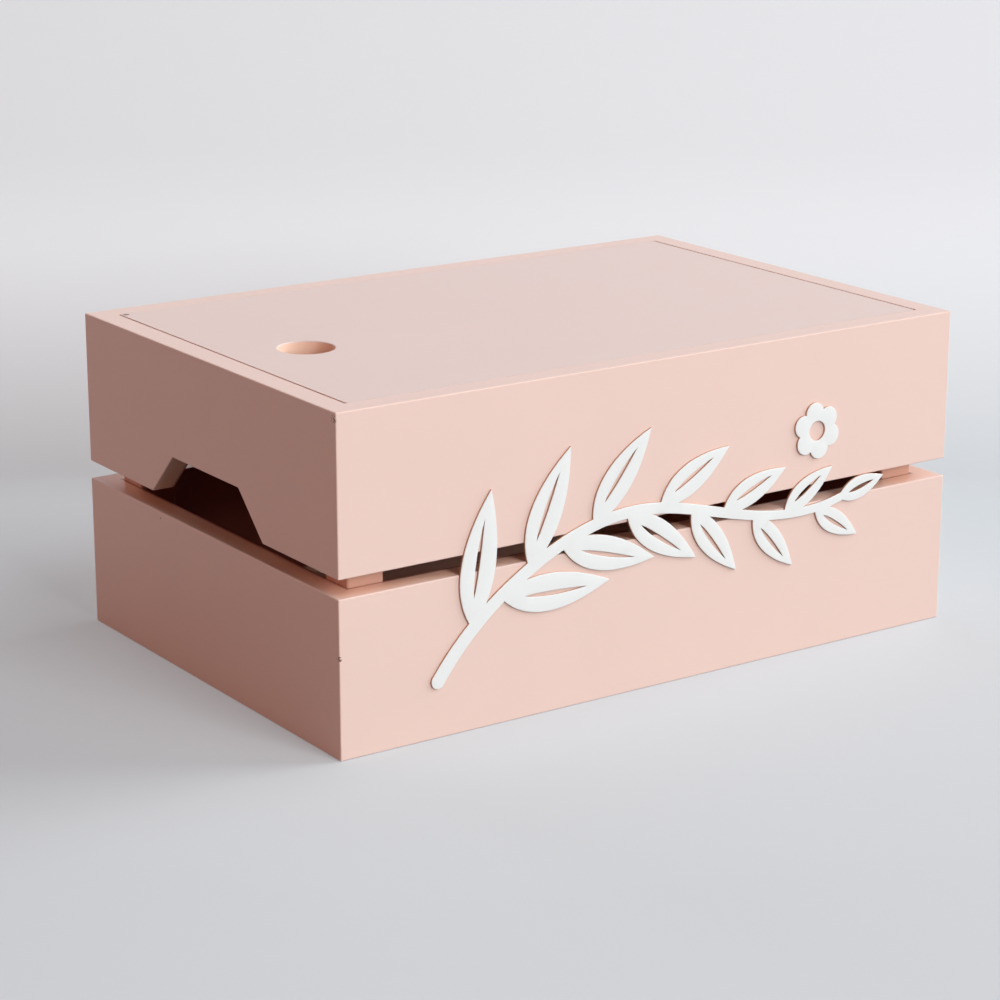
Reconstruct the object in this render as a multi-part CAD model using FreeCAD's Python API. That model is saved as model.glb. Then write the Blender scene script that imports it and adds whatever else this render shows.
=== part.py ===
import FreeCAD, Part
import math
import os

# Crate-style keepsake box with a lift-off lid. Millimetres, +Z up.
# The origin is on the surface that the box stands on, under the middle of its four walls.
# The front is towards -Y, and the finger hole is at the left end, towards -X.

V = FreeCAD.Vector

# Walls: two bands of boards with an open slot between them
BOX_LENGTH = 300.0
BOX_DEPTH = 200.0
BOARD_THICKNESS = 10.0
BAND_HEIGHT = 63.5
SLOT_HEIGHT = 7.5
BOARD_EDGE_RADIUS = 0.5

# Hand-holds in the bottom edges of the upper end boards
HAND_HOLD_TOP_WIDTH = 53.0
HAND_HOLD_HEIGHT = 18.0
HAND_HOLD_SIDE_ANGLE = 45.0

# Corner posts and bottom
POST_SIDE = 16.0
POST_EDGE_RADIUS = 1.0
BOTTOM_THICKNESS = 6.0

# Lid, let in flush and resting on the posts
LID_THICKNESS = 10.0
LID_END_CLEARANCE = 1.0
LID_SIDE_CLEARANCE = 0.3
LID_CORNER_RADIUS = 1.5
FINGER_HOLE_DIAMETER = 23.0
FINGER_HOLE_RIM_RADIUS = 0.4
FINGER_HOLE_UNDERSIDE_CHAMFER = 0.5
FINGER_HOLE_FROM_LID_END = 33.0
FINGER_HOLE_TOWARDS_FRONT = 5.5

# Steel brads of flat wire, driven in below the face and painted over
BRAD_WIRE_WIDTH = 1.25
BRAD_WIRE_THICKNESS = 1.0
BRAD_HEAD_WIDTH = 2.0
BRAD_HEAD_HEIGHT = 0.8
BRAD_SET_DEPTH = 1.0
BRAD_BITE = 10.0
BRAD_CLEARANCE = 0.05
BRAD_FROM_POST_END = 8.0
END_BOARD_BRAD_OFFSET = 8.0
BOTTOM_BRADS_PER_LONG_BOARD = 3
BOTTOM_BRADS_PER_END_BOARD = 2

# White appliques glued to the front
APPLIQUE_THICKNESS = 1.0
FLOWER_ACROSS = 78.0
FLOWER_ABOVE_SLOT = 26.6
FLOWER_PETALS = 6
FLOWER_PETAL_RADIUS = 4.6
FLOWER_PETAL_CIRCLE_RADIUS = 7.4
FLOWER_HOLE_DIAMETER = 8.2
FLOWER_TURN = 40.0

# Leafy branch: stem points across the front and above the middle of the slot
STEM_POINTS = ((-107.0, -44.0), (-70.0, -10.0), (-15.0, 8.0), (46.0, -4.0), (94.0, -3.0))
STEM_ROOT_WIDTH = 6.0
STEM_TIP_WIDTH = 3.5
STEM_STATIONS = 9
STEM_BARE_LENGTH = 24.0
LEAF_PAIRS = 6
FIRST_LEAF_LENGTH = 54.0
LAST_LEAF_LENGTH = 25.0
FIRST_LEAF_WIDTH = 16.0
LAST_LEAF_WIDTH = 9.5
LEAF_ANGLE = 46.0
LEAF_BEND = 0.14
VEIN_WIDTH = 1.8
VEIN_START = 0.22
VEIN_END = 0.80

# Edge of a leaf: poles of a cubic curve from base to tip, and the share of their reach that it attains
LEAF_POLES = ((0.0, 0.0), (0.3, 1.0), (0.7, 0.6), (1.0, 0.0))
LEAF_FULLNESS = 0.61

# Worked-out planes
BOX_HEIGHT = 2 * BAND_HEIGHT + SLOT_HEIGHT
UPPER_BAND_BOTTOM = BAND_HEIGHT + SLOT_HEIGHT
SLOT_MIDDLE = BAND_HEIGHT + SLOT_HEIGHT / 2
INNER_LENGTH = BOX_LENGTH - 2 * BOARD_THICKNESS
INNER_DEPTH = BOX_DEPTH - 2 * BOARD_THICKNESS
POST_TOP = BOX_HEIGHT - LID_THICKNESS
POST_X = INNER_LENGTH / 2 - POST_SIDE / 2
POST_Y = INNER_DEPTH / 2 - POST_SIDE / 2
FRONT_Y = -BOX_DEPTH / 2

# An edge is rounded by at most this share of the piece that it is on
LARGEST_ROUNDING = 0.3

LEFT, RIGHT = -1, 1
FRONT, BACK = -1, 1
TOLERANCE = 1e-6


def block(x_range, y_range, z_range):
    """Box between two values on each axis."""
    low = V(x_range[0], y_range[0], z_range[0])
    return Part.makeBox(x_range[1] - x_range[0], y_range[1] - y_range[0], z_range[1] - z_range[0], low)


def span(first, second):
    """Two values in rising order."""
    return (min(first, second), max(first, second))


def lies_on(edge, axis, value):
    """True for an edge in the plane where the axis ("x", "y" or "z") has this value."""
    return all(abs(getattr(vertex.Point, axis) - value) < TOLERANCE for vertex in edge.Vertexes)


def level(edge):
    """True for an edge that keeps its height."""
    return abs(edge.Vertexes[0].Z - edge.Vertexes[-1].Z) < TOLERANCE


def rounding(radius, wall):
    """Radius of a rounded edge, kept within its share of the wall."""
    return min(radius, LARGEST_ROUNDING * wall)


def long_board(side, bottom):
    """Front or back board, as long as the box, with its outer edges and end corners eased."""
    outer = side * BOX_DEPTH / 2
    inner = outer - side * BOARD_THICKNESS
    half = BOX_LENGTH / 2
    board = block((-half, half), span(outer, inner), (bottom, bottom + BAND_HEIGHT))
    at_ends = [e for e in board.Edges if level(e) and (lies_on(e, "x", half) or lies_on(e, "x", -half))]
    outside = [e for e in board.Edges if lies_on(e, "y", outer)]
    return board.makeFillet(rounding(BOARD_EDGE_RADIUS, BOARD_THICKNESS), outside + at_ends)


def end_board(side, bottom, hand_hold):
    """End board between the long boards, with a hand-hold cut into its bottom edge if asked for."""
    outer = side * BOX_LENGTH / 2
    inner = outer - side * BOARD_THICKNESS
    half = INNER_DEPTH / 2
    top = bottom + BAND_HEIGHT
    outline = [(half, bottom), (half, top), (-half, top), (-half, bottom)]
    if hand_hold:
        ceiling = HAND_HOLD_TOP_WIDTH / 2
        mouth = ceiling + HAND_HOLD_HEIGHT / math.tan(math.radians(HAND_HOLD_SIDE_ANGLE))
        roof = bottom + HAND_HOLD_HEIGHT
        outline += [(-mouth, bottom), (-ceiling, roof), (ceiling, roof), (mouth, bottom)]
    corners = [V(inner, y, z) for y, z in outline]
    board = Part.Face(Part.makePolygon(corners + corners[:1])).extrude(V(outer - inner, 0, 0))
    at_joints = [e for e in board.Edges if lies_on(e, "y", half) or lies_on(e, "y", -half)]
    outside = [e for e in board.Edges if lies_on(e, "x", outer) and not any(e.isSame(j) for j in at_joints)]
    return board.makeFillet(rounding(BOARD_EDGE_RADIUS, BOARD_THICKNESS), outside)


def post(side_x, side_y):
    """Square corner post from the bottom panel up to the lid."""
    x = side_x * POST_X
    y = side_y * POST_Y
    half = POST_SIDE / 2
    timber = block((x - half, x + half), (y - half, y + half), (BOTTOM_THICKNESS, POST_TOP))
    upright = [e for e in timber.Edges if not level(e)]
    return timber.makeFillet(rounding(POST_EDGE_RADIUS, POST_SIDE), upright)


def bottom_panel():
    """Bottom, let in between the lower boards and flush with their lower edges."""
    half_length = INNER_LENGTH / 2
    half_depth = INNER_DEPTH / 2
    return block((-half_length, half_length), (-half_depth, half_depth), (0, BOTTOM_THICKNESS))


def hole_rim(panel, height):
    """Edge of the round hole in a panel at one of its faces."""
    circles = [e for e in panel.Edges if isinstance(e.Curve, Part.Circle) and e.isClosed()]
    return [e for e in circles if lies_on(e, "z", height)]


def lid_panel():
    """Lid, let in between the upper boards, with a finger hole rounded above and chamfered below."""
    half_length = INNER_LENGTH / 2 - LID_END_CLEARANCE
    half_depth = INNER_DEPTH / 2 - LID_SIDE_CLEARANCE
    panel = block((-half_length, half_length), (-half_depth, half_depth), (POST_TOP, BOX_HEIGHT))
    upright = [e for e in panel.Edges if not level(e)]
    panel = panel.makeFillet(LID_CORNER_RADIUS, upright)
    centre = V(-half_length + FINGER_HOLE_FROM_LID_END, -FINGER_HOLE_TOWARDS_FRONT, POST_TOP)
    panel = panel.cut(Part.makeCylinder(FINGER_HOLE_DIAMETER / 2, LID_THICKNESS, centre))
    rim_radius = rounding(FINGER_HOLE_RIM_RADIUS, LID_THICKNESS)
    panel = panel.makeFillet(rim_radius, hole_rim(panel, BOX_HEIGHT))
    chamfer = rounding(FINGER_HOLE_UNDERSIDE_CHAMFER, LID_THICKNESS)
    return panel.makeChamfer(chamfer, hole_rim(panel, POST_TOP))


def post_brads(seat_bottom, seat_top):
    """Heads and directions of the brads that hold one band to the posts between two heights."""
    low = seat_bottom + BRAD_FROM_POST_END
    high = seat_top - BRAD_FROM_POST_END
    places = []
    for side_x in (LEFT, RIGHT):
        for side_y in (FRONT, BACK):
            for z in (low, high):
                head = V(side_x * POST_X, side_y * (BOX_DEPTH / 2 - BRAD_SET_DEPTH), z)
                places.append((head, V(0, -side_y, 0)))
            for z in (low + END_BOARD_BRAD_OFFSET, high - END_BOARD_BRAD_OFFSET):
                head = V(side_x * (BOX_LENGTH / 2 - BRAD_SET_DEPTH), side_y * POST_Y, z)
                places.append((head, V(-side_x, 0, 0)))
    return places


def spread(count, length):
    """Evenly spaced places along a length, centred on zero."""
    step = length / count
    return [(i - (count - 1) / 2) * step for i in range(count)]


def bottom_brads():
    """Heads and directions of the brads that hold the bottom panel by its edges."""
    z = BOTTOM_THICKNESS / 2
    places = []
    for side in (FRONT, BACK):
        y = side * (BOX_DEPTH / 2 - BRAD_SET_DEPTH)
        places += [(V(x, y, z), V(0, -side, 0)) for x in spread(BOTTOM_BRADS_PER_LONG_BOARD, INNER_LENGTH)]
    for side in (LEFT, RIGHT):
        x = side * (BOX_LENGTH / 2 - BRAD_SET_DEPTH)
        places += [(V(x, y, z), V(-side, 0, 0)) for y in spread(BOTTOM_BRADS_PER_END_BOARD, INNER_DEPTH)]
    return places


def flat_rod(start, end, thickness, width):
    """Rod of flat wire between two points on a level line along X or Y, with its width upright."""
    along = end - start
    across = V(abs(along.y), abs(along.x), 0)
    half = across.normalize() * (thickness / 2) + V(0, 0, width / 2)
    low = V(min(start.x, end.x), min(start.y, end.y), start.z) - half
    size = V(abs(along.x), abs(along.y), 0) + half * 2
    return Part.makeBox(size.x, size.y, size.z, low)


def brads(places, clearance=0.0):
    """A brad at each place, or with a clearance the hole that it is driven into."""
    length = BOARD_THICKNESS - BRAD_SET_DEPTH + BRAD_BITE
    thickness = BRAD_WIRE_THICKNESS + 2 * clearance
    made = []
    for head, way in places:
        neck = head + way * BRAD_HEAD_HEIGHT
        top = flat_rod(head, neck, thickness, BRAD_HEAD_WIDTH + 2 * clearance)
        wire = flat_rod(neck, head + way * length, thickness, BRAD_WIRE_WIDTH + 2 * clearance)
        made.append(one_solid(top.fuse(wire)))
    return Part.makeCompound(made)


def one_solid(shape):
    """The single solid of a finished shape, with its split faces merged."""
    solids = shape.removeSplitter().Solids
    if len(solids) != 1:
        raise ValueError("expected one solid, found %d" % len(solids))
    return solids[0]


def flower_applique():
    """Flower of round petals with a hole in its middle, glued to the upper front board."""
    centre = V(FLOWER_ACROSS, FRONT_Y, SLOT_MIDDLE + FLOWER_ABOVE_SLOT)
    outwards = V(0, FRONT, 0)
    core = Part.makeCylinder(FLOWER_PETAL_CIRCLE_RADIUS, APPLIQUE_THICKNESS, centre, outwards)
    petals = []
    for i in range(FLOWER_PETALS):
        angle = math.radians(FLOWER_TURN) + 2 * math.pi * i / FLOWER_PETALS
        reach = V(math.cos(angle), 0, math.sin(angle)) * FLOWER_PETAL_CIRCLE_RADIUS
        petals.append(Part.makeCylinder(FLOWER_PETAL_RADIUS, APPLIQUE_THICKNESS, centre + reach, outwards))
    hole = Part.makeCylinder(FLOWER_HOLE_DIAMETER / 2, APPLIQUE_THICKNESS, centre, outwards)
    return one_solid(core.multiFuse(petals).cut(hole))


def stem_line():
    """Middle line of the branch's stem on the front face."""
    line = Part.BSplineCurve()
    line.interpolate([V(x, FRONT_Y, SLOT_MIDDLE + z) for x, z in STEM_POINTS])
    return line


def station(line, distance):
    """Point of the stem at a distance from its root, and the angle at which it runs there."""
    parameter = line.parameterAtDistance(distance, line.FirstParameter)
    along = line.tangent(parameter)[0]
    return line.value(parameter), math.atan2(along.z, along.x)


def stem_face(line):
    """Stem that narrows from a round root to its tip."""
    length = line.length()
    edges = {1: [], -1: []}
    for i in range(STEM_STATIONS):
        share = i / (STEM_STATIONS - 1)
        point, heading = station(line, share * length)
        half_width = (STEM_ROOT_WIDTH + (STEM_TIP_WIDTH - STEM_ROOT_WIDTH) * share) / 2
        aside = V(-math.sin(heading), 0, math.cos(heading)) * half_width
        for side in edges:
            edges[side].append(point + aside * side)
    upper = Part.BSplineCurve()
    upper.interpolate(edges[1])
    lower = Part.BSplineCurve()
    lower.interpolate(edges[-1])
    root, heading = station(line, 0.0)
    root_back = root - V(math.cos(heading), 0, math.sin(heading)) * (STEM_ROOT_WIDTH / 2)
    root_end = Part.Arc(edges[-1][0], root_back, edges[1][0])
    tip_end = Part.LineSegment(edges[1][-1], edges[-1][-1])
    lower.reverse()
    return Part.Face(Part.Wire([curve.toShape() for curve in (upper, tip_end, lower, root_end)]))


def leaf_face(base, heading, length, width, bend, start=0.0, end=1.0):
    """Pointed leaf whose tip is bent aside, or the slot of its vein between two shares of its length."""
    along = V(math.cos(heading), 0, math.sin(heading)) * length
    aside = V(-math.sin(heading), 0, math.cos(heading))

    def pole(share, reach):
        place = start + (end - start) * share
        return base + along * place + aside * (bend * length * place ** 2 + reach * width / 2 / LEAF_FULLNESS)

    upper = Part.BezierCurve()
    upper.setPoles([pole(share, reach) for share, reach in LEAF_POLES])
    lower = Part.BezierCurve()
    lower.setPoles([pole(share, -reach) for share, reach in reversed(LEAF_POLES)])
    return Part.Face(Part.Wire([upper.toShape(), lower.toShape()]))


def leaf_places(line):
    """Base, heading, share of the way and bend of each leaf: in turn above and below, and one at the tip."""
    step = (line.length() - STEM_BARE_LENGTH) / (2 * LEAF_PAIRS)
    places = []
    for i in range(2 * LEAF_PAIRS):
        side = 1 if i % 2 == 0 else -1
        base, heading = station(line, STEM_BARE_LENGTH + i * step)
        heading += side * math.radians(LEAF_ANGLE)
        places.append((base, heading, i / (2 * LEAF_PAIRS), -side * LEAF_BEND))
    last_base, heading = station(line, line.length() - STEM_TIP_WIDTH)
    places.append((last_base, heading, 1.0, 0.0))
    return places


def branch_applique():
    """Leafy branch across both front boards, cut from one sheet, with a slim slot for each leaf's vein."""
    line = stem_line()
    leaves = []
    veins = []
    for base, heading, share, bend in leaf_places(line):
        length = FIRST_LEAF_LENGTH + (LAST_LEAF_LENGTH - FIRST_LEAF_LENGTH) * share
        width = FIRST_LEAF_WIDTH + (LAST_LEAF_WIDTH - FIRST_LEAF_WIDTH) * share
        leaves.append(leaf_face(base, heading, length, width, bend))
        veins.append(leaf_face(base, heading, length, VEIN_WIDTH, bend, VEIN_START, VEIN_END))
    outwards = V(0, FRONT * APPLIQUE_THICKNESS, 0)
    branch = stem_face(line).extrude(outwards).multiFuse([leaf.extrude(outwards) for leaf in leaves])
    return one_solid(branch.cut(Part.makeCompound([vein.extrude(outwards) for vein in veins])))


def boards_and_posts():
    """Boards of both bands, the posts and the bottom panel, before they are drilled."""
    pieces = {"bottom_panel": bottom_panel()}
    for band, bottom in (("upper", UPPER_BAND_BOTTOM), ("lower", 0.0)):
        pieces[band + "_front_board"] = long_board(FRONT, bottom)
        pieces[band + "_back_board"] = long_board(BACK, bottom)
        pieces[band + "_left_end_board"] = end_board(LEFT, bottom, band == "upper")
        pieces[band + "_right_end_board"] = end_board(RIGHT, bottom, band == "upper")
    for depth_name, side_y in (("front", FRONT), ("back", BACK)):
        pieces[depth_name + "_left_post"] = post(LEFT, side_y)
        pieces[depth_name + "_right_post"] = post(RIGHT, side_y)
    return pieces


def build():
    """Every piece of the box by its name."""
    places = {
        "upper_board_brads": post_brads(UPPER_BAND_BOTTOM, POST_TOP),
        "lower_board_brads": post_brads(BOTTOM_THICKNESS, BAND_HEIGHT),
        "bottom_panel_brads": bottom_brads(),
    }
    holes = brads(sum(places.values(), []), BRAD_CLEARANCE)
    pieces = {name: one_solid(piece.cut(holes)) for name, piece in boards_and_posts().items()}
    pieces.update({name: brads(group) for name, group in places.items()})
    pieces["lid_panel"] = lid_panel()
    pieces["flower_applique"] = flower_applique()
    pieces["branch_applique"] = branch_applique()
    return pieces


os.makedirs("parts", exist_ok=True)
for name, piece in build().items():
    if not piece.isValid():
        raise ValueError(name + " is not a valid shape")
    piece.exportStep(os.path.join("parts", name + ".step"))
    print("%-24s %2d solids %10.1f mm3" % (name, len(piece.Solids), piece.Volume))
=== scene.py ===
import math

import bpy
import numpy as np
from bpy.props import FloatProperty, FloatVectorProperty, IntProperty, PointerProperty
from mathutils import Matrix, Vector


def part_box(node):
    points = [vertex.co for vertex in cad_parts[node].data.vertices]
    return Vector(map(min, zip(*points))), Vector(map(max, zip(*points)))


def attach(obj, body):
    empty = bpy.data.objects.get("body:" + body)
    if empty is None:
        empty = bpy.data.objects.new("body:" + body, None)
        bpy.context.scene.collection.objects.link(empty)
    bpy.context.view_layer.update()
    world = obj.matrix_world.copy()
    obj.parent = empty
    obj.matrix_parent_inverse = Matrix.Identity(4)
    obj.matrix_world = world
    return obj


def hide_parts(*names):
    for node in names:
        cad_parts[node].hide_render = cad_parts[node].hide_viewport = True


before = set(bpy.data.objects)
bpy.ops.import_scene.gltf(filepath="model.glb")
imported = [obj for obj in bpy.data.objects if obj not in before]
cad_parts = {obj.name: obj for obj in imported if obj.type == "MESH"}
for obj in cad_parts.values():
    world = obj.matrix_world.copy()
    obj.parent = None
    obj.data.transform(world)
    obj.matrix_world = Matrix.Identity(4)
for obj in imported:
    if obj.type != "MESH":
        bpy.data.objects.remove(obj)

bl_info = {
    "name": "Keepsake Box Finisher",
    "version": (1, 0, 0),
    "blender": (4, 5, 0),
    "location": "View3D > Sidebar > Keepsake Box",
    "description": "Paints a crate-style keepsake box, rounds its appliques and sets a studio round it",
    "category": "Object",
}

MM = 0.001
UP = Vector((0, 0, 1))
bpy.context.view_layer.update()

# Names in the frame
BOX_BODY = "box"
LID = "lid_panel"
POSTS = ("front_left_post", "front_right_post", "back_left_post", "back_right_post")
APPLIQUES = ("flower_applique", "branch_applique")
PINK_SLOT, WHITE_SLOT, STEEL_SLOT = "pink_paint", "white_paint", "brad_steel"

# Knocks in the paint of the near corner and the left end, and a dark spot of painted shade in the gap at the
# lid's back corner:
# middle and radius in millimetres, and the level above which a fine noise has the paint off or the shade on
KNOCKS_AND_GAP_SHADE = (
    ((-150.0, -98.4, 131.8), 1.6, 0.55),
    ((-149.8, -100.0, 40.4), 1.0, 0.50),
    ((-150.0, 38.4, 61.0), 0.5, 0.50),
    ((-137.2, 87.6, 134.5), 1.4, 0.00),
)
# Width of the spots of that noise
KNOCK_GRAIN = 0.7 * MM

# Sprayed acrylic: brightness and roughness from the darkest to the palest of its faint clouds
CLOUD_TONES = (0.975, 1.02)
PAINT_ROUGHNESS = (0.32, 0.40)
PAINT_IOR = 1.5
PAINT_COAT = 0.3
PAINT_COAT_ROUGHNESS = 0.3

# Drawn steel wire; its grain is drawn coarser than the real one, which is too fine to show
STEEL_GREY = "#B9BABC"
STEEL_GRAIN = 0.4 * MM
STEEL_ROUGHNESS = (0.25, 0.45)

# Matt card: roughness and gloss of its surface, its reach in metres and the faces across its bend
CARD_ROUGHNESS = 0.9
CARD_GLOSS = 0.1
PAPER_REACH = 4.0
BEND_STEPS = 24

# Rounding of the appliques: the grid that makes loose corners one, how far behind its foremost point the
# front plane reaches, the least depth that counts as inside, and the share of the room inside that is used
MERGE_STEP = 0.001 * MM
FRONT_REACH = 0.01 * MM
LEAST_DEPTH = 1e-9
ROOM_SHARE = 0.9

# Faces that meet at more than this angle are shaded with a sharp edge
SHARP_ANGLE = math.radians(40)

# Width in millimetres of the sensor that the lens is given for
SENSOR_WIDTH = 36.0

WHITE_LIGHT = (1.0, 1.0, 1.0)
WARM_LIGHT = (1.0, 0.37, 0.22)

# Softboxes: name, azimuth from the front and elevation in degrees, distance and side in metres, colour
SOFTBOXES = (
    ("key", 75, 25, 7.0, 4.6, WHITE_LIGHT),
    ("front", 8, 20, 7.0, 3.0, WHITE_LIGHT),
    ("high", 15, 50, 7.0, 4.2, WHITE_LIGHT),
    ("fill", -75, 25, 7.0, 5.6, WARM_LIGHT),
    ("back", 180, 5, 7.0, 3.0, WHITE_LIGHT),
)


def linear(hex_colour):
    """Linear red, green and blue of an sRGB hex colour."""
    encoded = np.array([int(hex_colour[i:i + 2], 16) for i in (1, 3, 5)]) / 255
    low = encoded / 12.92
    high = ((encoded + 0.055) / 1.055) ** 2.4
    return tuple(np.where(encoded <= 0.04045, low, high))


def opaque(colour):
    """Colour with full alpha, as the sockets of nodes take it."""
    return (*colour, 1.0)


def colour_property(name, description, hex_colour):
    """Colour property whose default is an sRGB hex value."""
    return FloatVectorProperty(
        name=name, description=description, default=linear(hex_colour), subtype="COLOR", min=0, max=1
    )


def length_property(name, description, millimetres):
    """Length property whose default is given in millimetres."""
    return FloatProperty(
        name=name, description=description, default=millimetres * MM, subtype="DISTANCE", unit="LENGTH"
    )


def angle_property(name, description, degrees):
    """Angle property whose default is given in degrees."""
    return FloatProperty(
        name=name, description=description, default=math.radians(degrees), subtype="ANGLE", unit="ROTATION"
    )


def power_property(name, description, watts):
    """Power property in watts."""
    return FloatProperty(name=name, description=description, default=watts, unit="POWER", min=0)


def share_property(name, description, share):
    """Property between 0 and 1."""
    return FloatProperty(name=name, description=description, default=share, subtype="FACTOR", min=0, max=1)


class PaintSettings(bpy.types.PropertyGroup):
    """Paint of the boards, the lid and the appliques, with painted shade in the slot and inside the box"""

    pink: colour_property("Pink", "Outside of the boards", "#E6CCC2")
    lid_pink: colour_property("Lid Pink", "Top of the lid", "#E0CBC5")
    # Hole Pink is painted light and warm painted shade on the lid's edges and in its finger hole
    hole_light_and_shade_pink: colour_property("Hole Pink", "Edges of the lid and its finger hole", "#EECAB6")
    # Thin Pink is painted shade: warmer and darker than the outside, in the slot and on the posts
    thin_pink: colour_property("Thin Pink", "In the slot, where less paint reached the board", "#EBC3AE")
    # Inner Pink is painted shade: dark red-brown inside the box and under the lid
    inner_shade_pink: colour_property("Inner Pink", "Inside, where little more than overspray settled", "#964F40")
    white: colour_property("White", "Fronts of the appliques", "#E6ECEC")
    cut_edge: colour_property("Cut Edge", "Cut edges of the appliques", "#B98A6C")
    # Fibreboard also paints the shade of the gap at the lid's back corner
    fibre: colour_property("Fibreboard", "Board where the paint is knocked off", "#6E4B3B")
    lid_edge: length_property("Lid Edge", "Depth to which the lid's edges have the colour of its top", 0.3)
    # These depths place the painted shade: plain pink to the first, then warmer and darker inwards
    shade_onset_depth: length_property("Full Depth", "Depth to which the boards are fully painted", 0.8)
    slot_shade_depth: length_property("Thin Depth", "Depth at which the boards' paint is thin", 3.0)
    rim_shade_depth: length_property("Rim Depth", "Depth to which the rims of the slot are thinly painted", 8.5)
    inner_shade_depth: length_property("Inner Depth", "Depth at which only overspray is left on the boards", 9.8)
    post_shade_depth: length_property("Post Depth", "Depth at which only overspray is left on the posts", 13.0)
    edge_paint: length_property("Edge Paint", "How far the white runs down the edge of an applique", 0.2)
    edge_blend: length_property("Edge Blend", "Depth at which the edge of an applique is bare", 0.3)
    cloud_size: length_property("Cloud Size", "Width of the faint clouds in the paint", 45.0)
    peel_size: length_property("Peel Size", "Width of the ripples that the paint dried with", 1.6)
    peel_depth: length_property("Peel Depth", "Height of those ripples", 0.012)
    applique_rounding: length_property("Applique Rounding", "Radius of the appliques' front edges", 0.25)
    rounding_steps: IntProperty(
        name="Rounding Steps", description="Faces across a rounded edge", default=6, min=2, max=16
    )


class StudioSettings(bpy.types.PropertyGroup):
    """Camera, lamps and backdrop"""

    azimuth: angle_property("Azimuth", "Camera's way round the box, from its front", -34.501)
    elevation: angle_property("Elevation", "Camera's height as an angle", 16.299)
    roll: angle_property("Roll", "Camera's turn about its own line of sight", -0.042)
    distance: length_property("Distance", "From the camera to the plane through the box's middle", 1213.28)
    aside: length_property("Aside", "Shift of the camera to the left of the box's middle", 7.7)
    below: length_property("Below", "Shift of the camera below the box's middle", 13.668)
    lens: FloatProperty(
        name="Lens", description="Focal length on a sensor of 36 mm", default=103.338, unit="CAMERA"
    )
    wall_behind: length_property("Wall Behind", "From the box's middle to the backdrop's wall", 330.0)
    bend_radius: length_property("Bend Radius", "Radius of the bend between floor and wall", 150.0)
    paper: colour_property("Paper", "Floor and backdrop", "#B0B6BA")
    bounce: colour_property("Bounce", "Light that the paper throws back", "#808080")
    glow_colour: colour_property("Glow Colour", "Glow of the backdrop", "#F3F9FF")
    haze: share_property("Haze", "Glow of the backdrop at its left", 0.086)
    tilt: share_property("Tilt", "Further glow of the backdrop at its right", 0.07687)
    glow: share_property("Glow", "Further glow of the backdrop's wall", 0.324)
    glow_width: length_property("Glow Width", "From the left, where the glow is haze, to the right", 600.0)
    glow_start: length_property("Glow Start", "Height at which the wall's glow begins", -60.0)
    glow_height: length_property("Glow Height", "Height at which the wall's glow is full", 120.0)
    key_power: power_property("Key Power", "Main softbox, at the right", 501.7)
    front_power: power_property("Front Power", "Softbox in front", 298.0)
    high_power: power_property("High Power", "Softbox high in front", 145.0)
    fill_power: power_property("Fill Power", "Warm softbox at the left", 129.0)
    back_power: power_property("Back Power", "Softbox behind the box", 300.0)
    far_side: colour_property("Far Side", "What shows past the edges of the paper", "#E1E2E4")


def box_corners():
    """Lowest and highest corners of the box without its appliques."""
    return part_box("lower_front_board")[0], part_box("upper_back_board")[1]


def box_middle():
    """Middle of the box without its appliques."""
    low, high = box_corners()
    return (low + high) / 2


def add_node(tree, kind, inputs=None, **settings):
    """One shader node: inputs are socket identifiers, each with a value or an output to link.

    The settings are the node's own attributes.
    """
    node = tree.nodes.new("ShaderNode" + kind)
    for name, value in settings.items():
        setattr(node, name, value)
    for name, value in (inputs or {}).items():
        socket = next(s for s in node.inputs if s.identifier == name)
        if isinstance(value, bpy.types.NodeSocket):
            tree.links.new(value, socket)
        else:
            socket.default_value = value
    return node


def new_material(name):
    """Empty node material with its principled shader joined to the output."""
    material = bpy.data.materials.new(name)
    material.use_nodes = True
    tree = material.node_tree
    tree.nodes.clear()
    shader = add_node(tree, "BsdfPrincipled")
    add_node(tree, "OutputMaterial", {"Surface": shader.outputs["BSDF"]})
    return material, tree, shader


def result_colour(mix):
    """Colour output of a mix node."""
    return next(socket for socket in mix.outputs if socket.identifier == "Result_Color")


def knocks_and_gap_shade(tree, place):
    """1 where the paint is knocked off, and in a dark spot of painted shade in the gap at the lid's back
    corner: spots of noise inside small balls.
    """
    noise = add_node(tree, "TexNoise", {"Vector": place, "Scale": 1 / KNOCK_GRAIN, "Detail": 2.0})
    spots = noise.outputs["Fac"]
    bare = 0.0
    for middle, radius, level in KNOCKS_AND_GAP_SHADE:
        ends = {"Vector": place, "Vector_001": Vector(middle) * MM}
        away = add_node(tree, "VectorMath", ends, operation="DISTANCE").outputs["Value"]
        inside = add_node(tree, "Math", {"Value": away, "Value_001": radius * MM}, operation="LESS_THAN")
        off = add_node(tree, "Math", {"Value": spots, "Value_001": level}, operation="GREATER_THAN")
        both = {"Value": inside.outputs["Value"], "Value_001": off.outputs["Value"]}
        knock = add_node(tree, "Math", both, operation="MULTIPLY").outputs["Value"]
        either = {"Value": bare, "Value_001": knock}
        bare = add_node(tree, "Math", either, operation="MAXIMUM").outputs["Value"]
    return bare


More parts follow.
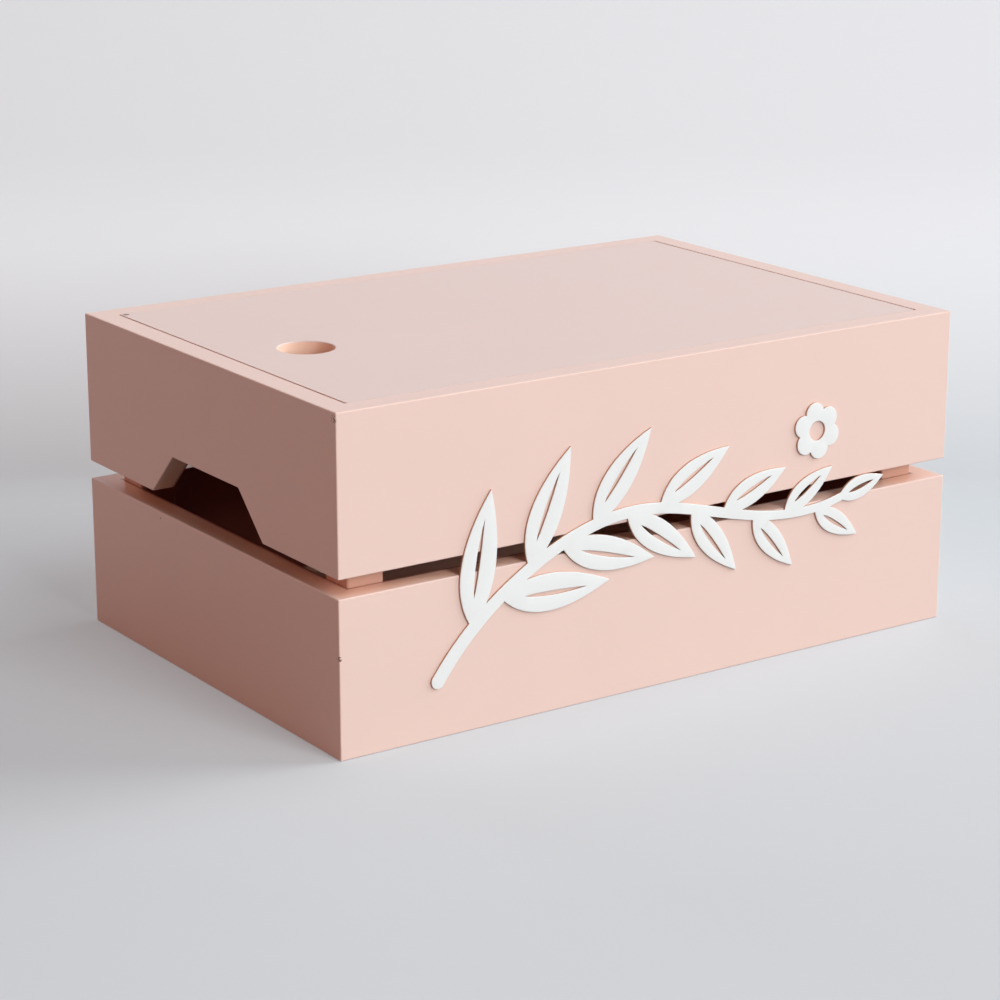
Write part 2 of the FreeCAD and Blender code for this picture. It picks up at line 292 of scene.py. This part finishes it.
def depth_inside(tree, place):
    """Distance of a point from the nearest of the box's six outer planes, measured inwards."""
    low, high = box_corners()
    offset = add_node(tree, "VectorMath", {"Vector": place, "Vector_001": box_middle()}, operation="SUBTRACT")
    reach = add_node(tree, "VectorMath", {"Vector": offset.outputs["Vector"]}, operation="ABSOLUTE")
    halves = {"Vector": (high - low) / 2, "Vector_001": reach.outputs["Vector"]}
    left = add_node(tree, "VectorMath", halves, operation="SUBTRACT")
    sides = add_node(tree, "SeparateXYZ", {"Vector": left.outputs["Vector"]}).outputs
    level = add_node(tree, "Math", {"Value": sides["X"], "Value_001": sides["Y"]}, operation="MINIMUM")
    nearest = {"Value": level.outputs["Value"], "Value_001": sides["Z"]}
    return add_node(tree, "Math", nearest, operation="MINIMUM").outputs["Value"]


def depth_behind(tree, place, front):
    """Distance of a point behind an upright front plane."""
    along = add_node(tree, "SeparateXYZ", {"Vector": place}).outputs["Y"]
    return add_node(tree, "Math", {"Value": along, "Value_001": front}, operation="SUBTRACT").outputs["Value"]


def colour_at_depth(tree, depth, paint_and_shade_by_depth):
    """Colour that runs through pairs of a depth and the colour there, given from the outside inwards."""
    deepest = paint_and_shade_by_depth[-1][0]
    share = add_node(tree, "MapRange", {"Value": depth, "From Max": deepest}).outputs["Result"]
    ramp = add_node(tree, "ValToRGB", {"Fac": share})
    stops = ramp.color_ramp.elements
    stops.remove(stops[1])
    for stop_depth, colour in paint_and_shade_by_depth:
        stops.new(stop_depth / deepest).color = opaque(colour)
    stops.remove(stops[0])
    return ramp.outputs["Color"]


def satin_paint_on_fibreboard(name, paint_and_shade_by_depth, paint, front=None):
    """Sprayed satin acrylic on sanded MDF: an even colour with faint clouds, and a soft sheen at a low angle.

    Deeper inside the box the colour turns warmer and darker by depth: painted shade in the slot, on the posts
    and inside, and painted light and warm painted shade on the lid's edges and in its finger hole. Behind a
    front plane the colours give an applique its white front and its brown cut edge.
    """
    material, tree, shader = new_material(name)
    place = add_node(tree, "TexCoord").outputs["Object"]
    clouds = add_node(tree, "TexNoise", {"Vector": place, "Scale": 1 / paint.cloud_size, "Detail": 3.0})
    tone, gloss = (
        add_node(tree, "MapRange", {"Value": clouds.outputs["Fac"], "To Min": darkest, "To Max": palest})
        for darkest, palest in (CLOUD_TONES, PAINT_ROUGHNESS)
    )
    depth = depth_inside(tree, place) if front is None else depth_behind(tree, place, front)
    # Past the outside pink, the colour by depth is painted shade in the slot and inside
    paint_with_shade = {"Color": colour_at_depth(tree, depth, paint_and_shade_by_depth), "Value": tone.outputs["Result"]}
    even = add_node(tree, "HueSaturation", paint_with_shade).outputs["Color"]
    # Knocks bare the board; the last ball is a dark spot of painted shade in the gap at the lid's back corner
    bare = knocks_and_gap_shade(tree, place)
    layers = {"Factor_Float": bare, "A_Color": even, "B_Color": opaque(paint.fibre)}
    colour = add_node(tree, "Mix", layers, data_type="RGBA")
    ripples = add_node(tree, "TexNoise", {"Vector": place, "Scale": 1 / paint.peel_size, "Detail": 2.0})
    worn = {"Value": ripples.outputs["Fac"], "Value_001": bare}
    height = add_node(tree, "Math", worn, operation="SUBTRACT").outputs["Value"]
    relief = add_node(tree, "Bump", {"Height": height, "Distance": paint.peel_depth, "Strength": 1.0})
    tree.links.new(result_colour(colour), shader.inputs["Base Color"])
    tree.links.new(gloss.outputs["Result"], shader.inputs["Roughness"])
    tree.links.new(relief.outputs["Normal"], shader.inputs["Normal"])
    shader.inputs["IOR"].default_value = PAINT_IOR
    shader.inputs["Coat Weight"].default_value = PAINT_COAT
    shader.inputs["Coat Roughness"].default_value = PAINT_COAT_ROUGHNESS
    return material


def drawn_steel_wire(name):
    """Drawn steel wire: a bright grey metal whose gloss varies finely."""
    material, tree, shader = new_material(name)
    place = add_node(tree, "TexCoord").outputs["Object"]
    grain = add_node(tree, "TexNoise", {"Vector": place, "Scale": 1 / STEEL_GRAIN, "Detail": 4.0})
    smooth, rough = STEEL_ROUGHNESS
    gloss = add_node(tree, "MapRange", {"Value": grain.outputs["Fac"], "To Min": smooth, "To Max": rough})
    tree.links.new(gloss.outputs["Result"], shader.inputs["Roughness"])
    shader.inputs["Base Color"].default_value = opaque(linear(STEEL_GREY))
    shader.inputs["Metallic"].default_value = 1.0
    return material


def material_once(name, make, *values):
    """The material of this name, made the first time that it is asked for."""
    return bpy.data.materials.get(name) or make(name, *values)


def in_slot(slot):
    """CAD nodes that the record gives this material slot."""
    found = [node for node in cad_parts.values() if node.material_slots[0].name == slot]
    if not found:
        raise RuntimeError("no piece of the frame has the material slot " + slot)
    return found


def cover(nodes, material):
    """Puts one material on each of these nodes."""
    for node in nodes:
        node.material_slots[0].material = material


def merged_triangles(node):
    """Corners and triangles of a CAD node, with the corners that its loose triangles share made one."""
    mesh = node.data
    mesh.calc_loop_triangles()
    corners = np.empty(len(mesh.vertices) * 3)
    mesh.vertices.foreach_get("co", corners)
    triangles = np.empty(len(mesh.loop_triangles) * 3, np.int32)
    mesh.loop_triangles.foreach_get("vertices", triangles)
    steps = np.round(corners.reshape(-1, 3) / MERGE_STEP).astype(np.int64)
    places, merged = np.unique(steps, axis=0, return_inverse=True)
    return places * MERGE_STEP, merged.reshape(-1)[triangles].reshape(-1, 3)


def rim_edges(face, count):
    """Start and end of each edge that only one triangle of the face has."""
    starts = face.reshape(-1)
    ends = np.roll(face, -1, axis=1).reshape(-1)
    rim = ~np.isin(starts * count + ends, ends * count + starts)
    return starts[rim], ends[rim]


def inward_directions(flat, starts, ends):
    """Unit vector at each point of an outline, square to the mean direction of its two edges."""
    after = np.empty(len(flat), int)
    before = np.empty(len(flat), int)
    after[starts] = ends
    before[ends] = starts
    ahead = flat[after] - flat
    behind = flat - flat[before]
    ahead /= np.linalg.norm(ahead, axis=1, keepdims=True)
    behind /= np.linalg.norm(behind, axis=1, keepdims=True)
    along = ahead + behind
    inward = np.stack([-along[:, 1], along[:, 0]], axis=1)
    return inward / np.linalg.norm(inward, axis=1, keepdims=True)


def room_inside(flat, inward):
    """Radius at each point of an outline of the largest circle that touches the outline there from inside.

    A circle that touches at one point and passes through another has as its radius the square of their
    distance over twice the depth of the other one, and the smallest of these holds.
    """
    apart = flat[None] - flat[:, None]
    depth = np.einsum("ijk,ik->ij", apart, inward)
    square = (apart ** 2).sum(2)
    return np.where(depth > LEAST_DEPTH, square / np.maximum(2 * depth, LEAST_DEPTH), np.inf).min(1)


def rounded_plate(node, radius, steps):
    """Points and faces of a flat plate with its front edge rounded.

    The plate's own outline is the path. A profile is carried along it: up the side wall, then a quarter
    circle onto the front. At each point of the outline the circle's radius is the asked one, or most of the
    room inside the outline there, so that sharp tips thin out to nothing.
    """
    corners, triangles = merged_triangles(node)
    front = corners[:, 1].min()
    back = corners[:, 1].max()
    face = triangles[(corners[triangles][:, :, 1] < front + FRONT_REACH).all(1)]
    used, face = np.unique(face, return_inverse=True)
    face = face.reshape(-1, 3)
    flat = corners[used][:, [0, 2]]
    count = len(flat)
    starts, ends = rim_edges(face, count)
    inward = inward_directions(flat, starts, ends)
    edge_radius = np.minimum(radius, ROOM_SHARE * room_inside(flat, inward))
    turn = np.linspace(0, math.pi / 2, steps + 1)[:, None]
    inset = edge_radius * (1 - np.cos(turn))
    drop = edge_radius * (1 - np.sin(turn))
    outline = flat + inset[:, :, None] * inward
    rows = np.stack([outline[:, :, 0], front + drop, outline[:, :, 1]], axis=2)
    bottom = np.stack([flat[:, 0], np.full(count, back), flat[:, 1]], axis=1)
    points = np.concatenate([bottom[None], rows]).reshape(-1, 3)
    row = np.arange(steps + 1)[:, None] * count
    above = row + count
    walls = np.stack([row + starts, row + ends, above + ends, above + starts], axis=2).reshape(-1, 4)
    caps = np.concatenate([face + (steps + 1) * count, face[:, ::-1]])
    return points, walls, caps


def mesh_piece(name, points, walls, caps, material):
    """New object from points, four-sided walls shaded smooth and three-sided caps shaded flat."""
    mesh = bpy.data.meshes.new(name)
    mesh.from_pydata(points.tolist(), [], walls.tolist() + caps.tolist())
    mesh.polygons.foreach_set("use_smooth", np.arange(len(mesh.polygons)) < len(walls))
    mesh.set_sharp_from_angle(angle=SHARP_ANGLE)
    mesh.materials.append(material)
    piece = bpy.data.objects.new(name, mesh)
    bpy.context.scene.collection.objects.link(piece)
    return piece


class KEEPSAKE_OT_paint_boards(bpy.types.Operator):
    """Paint the boards and the bottom of the crate, with painted shade in the slot and inside"""

    bl_idname = "keepsake.paint_boards"
    bl_label = "Paint Boards"

    def execute(self, context):
        paint = context.scene.keepsake_paint
        # Plain pink at the outside, then painted shade: warmer in the slot, dark red-brown inside
        paint_and_shade_by_depth = (
            (paint.shade_onset_depth, paint.pink),
            (paint.slot_shade_depth, paint.thin_pink),
            (paint.rim_shade_depth, paint.thin_pink),
            (paint.inner_shade_depth, paint.inner_shade_pink),
        )
        boards = [node for node in in_slot(PINK_SLOT) if node.name not in (LID, *POSTS)]
        cover(boards, material_once("pink_satin_paint_on_mdf", satin_paint_on_fibreboard, paint_and_shade_by_depth, paint))
        return {"FINISHED"}


class KEEPSAKE_OT_paint_posts(bpy.types.Operator):
    """Paint the corner posts with the painted shade of the slot, darker still further in"""

    bl_idname = "keepsake.paint_posts"
    bl_label = "Paint Posts"

    def execute(self, context):
        paint = context.scene.keepsake_paint
        # Painted shade: warmer in the slot, darker further in
        paint_and_shade_by_depth = ((paint.rim_shade_depth, paint.thin_pink), (paint.post_shade_depth, paint.inner_shade_pink))
        posts = [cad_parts[name] for name in POSTS]
        cover(posts, material_once("thin_pink_paint_on_mdf", satin_paint_on_fibreboard, paint_and_shade_by_depth, paint))
        return {"FINISHED"}


class KEEPSAKE_OT_paint_lid(bpy.types.Operator):
    """Paint the lid, with painted light and warm painted shade on its edges and in its finger hole, and
    painted shade underneath
    """

    bl_idname = "keepsake.paint_lid"
    bl_label = "Paint Lid"

    def execute(self, context):
        paint = context.scene.keepsake_paint
        # Lid pink on top, then painted light and warm painted shade on the edges and in the hole, painted
        # shade underneath
        paint_and_shade_by_depth = (
            (paint.lid_edge, paint.lid_pink),
            (paint.shade_onset_depth, paint.hole_light_and_shade_pink),
            (paint.rim_shade_depth, paint.hole_light_and_shade_pink),
            (paint.inner_shade_depth, paint.inner_shade_pink),
        )
        lid = [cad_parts[LID]]
        cover(lid, material_once("pink_satin_paint_on_mdf_lid", satin_paint_on_fibreboard, paint_and_shade_by_depth, paint))
        return {"FINISHED"}


class KEEPSAKE_OT_finish_brads(bpy.types.Operator):
    """Give the brads their drawn steel"""

    bl_idname = "keepsake.finish_brads"
    bl_label = "Finish Brads"

    def execute(self, context):
        cover(in_slot(STEEL_SLOT), material_once("drawn_steel_wire", drawn_steel_wire))
        return {"FINISHED"}


class KEEPSAKE_OT_round_appliques(bpy.types.Operator):
    """Round the front edges of the flower and the branch and paint them white"""

    bl_idname = "keepsake.round_appliques"
    bl_label = "Round Appliques"

    def execute(self, context):
        paint = context.scene.keepsake_paint
        paint_and_shade_by_depth = ((paint.edge_paint, paint.white), (paint.edge_blend, paint.cut_edge))
        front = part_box(APPLIQUES[0])[0].y
        white = material_once("white_satin_paint_on_mdf", satin_paint_on_fibreboard, paint_and_shade_by_depth, paint, front)
        for name in APPLIQUES:
            shape = rounded_plate(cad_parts[name], paint.applique_rounding, paint.rounding_steps)
            piece = mesh_piece(name + "_rounded", *shape, white)
            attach(piece, BOX_BODY)
            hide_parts(name)
        return {"FINISHED"}


def looking(azimuth, elevation):
    """Unit vector from the box towards a camera or lamp at these angles; azimuth 0 is in front of the box."""
    level = math.cos(elevation)
    return Vector((math.sin(azimuth) * level, -math.cos(azimuth) * level, math.sin(elevation)))


def place_camera(studio):
    """Camera at the photograph's angle, moved aside in its own plane to frame the box."""
    back = looking(studio.azimuth, studio.elevation)
    right = UP.cross(back).normalized()
    up = back.cross(right)
    turned = Matrix.Rotation(-studio.roll, 3, back)
    right, up = turned @ right, turned @ up
    data = bpy.data.cameras.new("camera")
    data.lens = studio.lens
    data.sensor_width = SENSOR_WIDTH
    camera = bpy.data.objects.new("camera", data)
    bpy.context.scene.collection.objects.link(camera)
    place = box_middle() + back * studio.distance - right * studio.aside - up * studio.below
    camera.matrix_world = Matrix.Translation(place) @ Matrix((right, up, back)).transposed().to_4x4()
    bpy.context.scene.camera = camera


def softbox(name, azimuth, elevation, distance, side, power, colour):
    """Square lamp that faces the box from these angles and draws no bright line on rounded edges."""
    data = bpy.data.lights.new(name, "AREA")
    data.size = side
    data.energy = power
    data.color = colour
    lamp = bpy.data.objects.new(name, data)
    towards = looking(math.radians(azimuth), math.radians(elevation))
    lamp.location = box_middle() + towards * distance
    lamp.rotation_euler = towards.to_track_quat("Z", "Y").to_euler()
    lamp.visible_camera = False
    lamp.visible_glossy = False
    bpy.context.scene.collection.objects.link(lamp)


def swept_paper(studio):
    """Floor that bends up into a wall behind the box.

    One parameter runs along the profile, a level line, a quarter circle and an upright line, and the other
    runs sideways, square to the camera's line of sight.
    """
    turn = np.linspace(0, math.pi / 2, BEND_STEPS + 1)
    bend_start = studio.wall_behind - studio.bend_radius
    bend = bend_start + studio.bend_radius * np.sin(turn)
    along = np.concatenate([[-PAPER_REACH], bend, [studio.wall_behind]])
    height = np.concatenate([[0], studio.bend_radius * (1 - np.cos(turn)), [PAPER_REACH]])
    sideways = np.array([-PAPER_REACH, PAPER_REACH])
    ahead = -looking(studio.azimuth, 0)
    right = ahead.cross(UP)
    points = (
        along[:, None, None] * np.array(ahead)
        + sideways[None, :, None] * np.array(right)
        + height[:, None, None] * np.array(UP)
    ).reshape(-1, 3)
    row = np.arange(len(along) - 1) * 2
    walls = np.stack([row, row + 1, row + 3, row + 2], axis=1)
    return points, walls, np.empty((0, 3), int)


def seen_directly(tree):
    """1 for what the camera, gloss and glass see, and 0 for the light that a surface throws back."""
    ray = add_node(tree, "LightPath").outputs
    seen = ray["Is Camera Ray"]
    for kind in ("Is Glossy Ray", "Is Transmission Ray"):
        either = {"Value": seen, "Value_001": ray[kind]}
        seen = add_node(tree, "Math", either, operation="MAXIMUM").outputs["Value"]
    return seen


def backdrop_glow(tree, studio):
    """Strength of the backdrop's glow: haze that grows from left to right, and more of it up the wall."""
    place = add_node(tree, "TexCoord").outputs["Object"]
    height = add_node(tree, "SeparateXYZ", {"Vector": place}).outputs["Z"]
    climb = {
        "Value": height,
        "From Min": studio.glow_start,
        "From Max": studio.glow_height,
        "To Max": studio.glow,
    }
    rise = add_node(tree, "MapRange", climb, interpolation_type="SMOOTHSTEP")
    right = UP.cross(looking(studio.azimuth, 0))
    sideways = add_node(tree, "VectorMath", {"Vector": place, "Vector_001": right}, operation="DOT_PRODUCT")
    across = {
        "Value": sideways.outputs["Value"],
        "From Min": -studio.glow_width / 2,
        "From Max": studio.glow_width / 2,
        "To Min": studio.haze,
        "To Max": studio.haze + studio.tilt,
    }
    lean = add_node(tree, "MapRange", across)
    both = {"Value": rise.outputs["Result"], "Value_001": lean.outputs["Result"]}
    return add_node(tree, "Math", both, operation="ADD").outputs["Value"]


def matt_card(name, studio):
    """Matt card: even and pale, with a wall that glows a little, and seen through from behind.

    The camera and the gloss of the paint see the card's own colour; the light that it throws back is dimmer,
    as in a room whose far side is dark. Lamps behind the card shine through it.
    """
    material, tree, shader = new_material(name)
    seen = seen_directly(tree)
    sides = {"Factor_Float": seen, "A_Color": opaque(studio.bounce), "B_Color": opaque(studio.paper)}
    card = add_node(tree, "Mix", sides, data_type="RGBA")
    shown = {"Value": backdrop_glow(tree, studio), "Value_001": seen}
    strength = add_node(tree, "Math", shown, operation="MULTIPLY")
    tree.links.new(result_colour(card), shader.inputs["Base Color"])
    tree.links.new(strength.outputs["Value"], shader.inputs["Emission Strength"])
    shader.inputs["Emission Color"].default_value = opaque(studio.glow_colour)
    shader.inputs["Roughness"].default_value = CARD_ROUGHNESS
    shader.inputs["Specular IOR Level"].default_value = CARD_GLOSS
    turned = add_node(tree, "NewGeometry").outputs["Backfacing"]
    shadow = add_node(tree, "LightPath").outputs["Is Shadow Ray"]
    clear = add_node(tree, "Math", {"Value": turned, "Value_001": shadow}, operation="MAXIMUM")
    through = add_node(tree, "BsdfTransparent")
    layers = {
        "Fac": clear.outputs["Value"],
        "Shader": shader.outputs["BSDF"],
        "Shader_001": through.outputs["BSDF"],
    }
    mixed = add_node(tree, "MixShader", layers)
    tree.links.new(mixed.outputs["Shader"], tree.get_output_node("ALL").inputs["Surface"])
    return material


def set_room(studio):
    """World that gives no light of its own and shows the camera and the gloss a pale grey past the paper."""
    world = bpy.data.worlds.new("room")
    world.use_nodes = True
    tree = world.node_tree
    tree.nodes.clear()
    shown = add_node(tree, "Background", {"Color": opaque(studio.far_side), "Strength": seen_directly(tree)})
    add_node(tree, "OutputWorld", {"Surface": shown.outputs["Background"]})
    bpy.context.scene.world = world


class KEEPSAKE_OT_set_stage(bpy.types.Operator):
    """Set the camera, the lamps and the paper backdrop"""

    bl_idname = "keepsake.set_stage"
    bl_label = "Set Stage"

    def execute(self, context):
        studio = context.scene.keepsake_studio
        context.scene.view_settings.view_transform = "Standard"
        place_camera(studio)
        card = material_once("matt_card", matt_card, studio)
        mesh_piece("backdrop", *swept_paper(studio), card)
        for name, azimuth, elevation, distance, side, colour in SOFTBOXES:
            power = getattr(studio, name + "_power")
            softbox(name + "_softbox", azimuth, elevation, distance, side, power, colour)
        set_room(studio)
        return {"FINISHED"}


class KEEPSAKE_PT_sidebar(bpy.types.Panel):
    """Sizes, colours and steps of the keepsake box"""

    bl_idname = "KEEPSAKE_PT_sidebar"
    bl_label = "Keepsake Box"
    bl_space_type = "VIEW_3D"
    bl_region_type = "UI"
    bl_category = "Keepsake Box"

    def draw(self, context):
        for settings in (context.scene.keepsake_paint, context.scene.keepsake_studio):
            column = self.layout.column()
            for name in type(settings).__annotations__:
                column.prop(settings, name)
        for operator in OPERATORS:
            self.layout.operator(operator.bl_idname)


OPERATORS = (
    KEEPSAKE_OT_paint_boards,
    KEEPSAKE_OT_paint_posts,
    KEEPSAKE_OT_paint_lid,
    KEEPSAKE_OT_finish_brads,
    KEEPSAKE_OT_round_appliques,
    KEEPSAKE_OT_set_stage,
)
CLASSES = (PaintSettings, StudioSettings, *OPERATORS, KEEPSAKE_PT_sidebar)


def register():
    """Add the classes and their settings to Blender."""
    for one in CLASSES:
        bpy.utils.register_class(one)
    bpy.types.Scene.keepsake_paint = PointerProperty(type=PaintSettings)
    bpy.types.Scene.keepsake_studio = PointerProperty(type=StudioSettings)


def unregister():
    """Take the settings and the classes out again."""
    del bpy.types.Scene.keepsake_studio
    del bpy.types.Scene.keepsake_paint
    for one in reversed(CLASSES):
        bpy.utils.unregister_class(one)


def main():
    """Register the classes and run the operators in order."""
    register()
    bpy.ops.keepsake.paint_boards()
    bpy.ops.keepsake.paint_posts()
    bpy.ops.keepsake.paint_lid()
    bpy.ops.keepsake.finish_brads()
    bpy.ops.keepsake.round_appliques()
    bpy.ops.keepsake.set_stage()


if __name__ == "__main__":
    main()
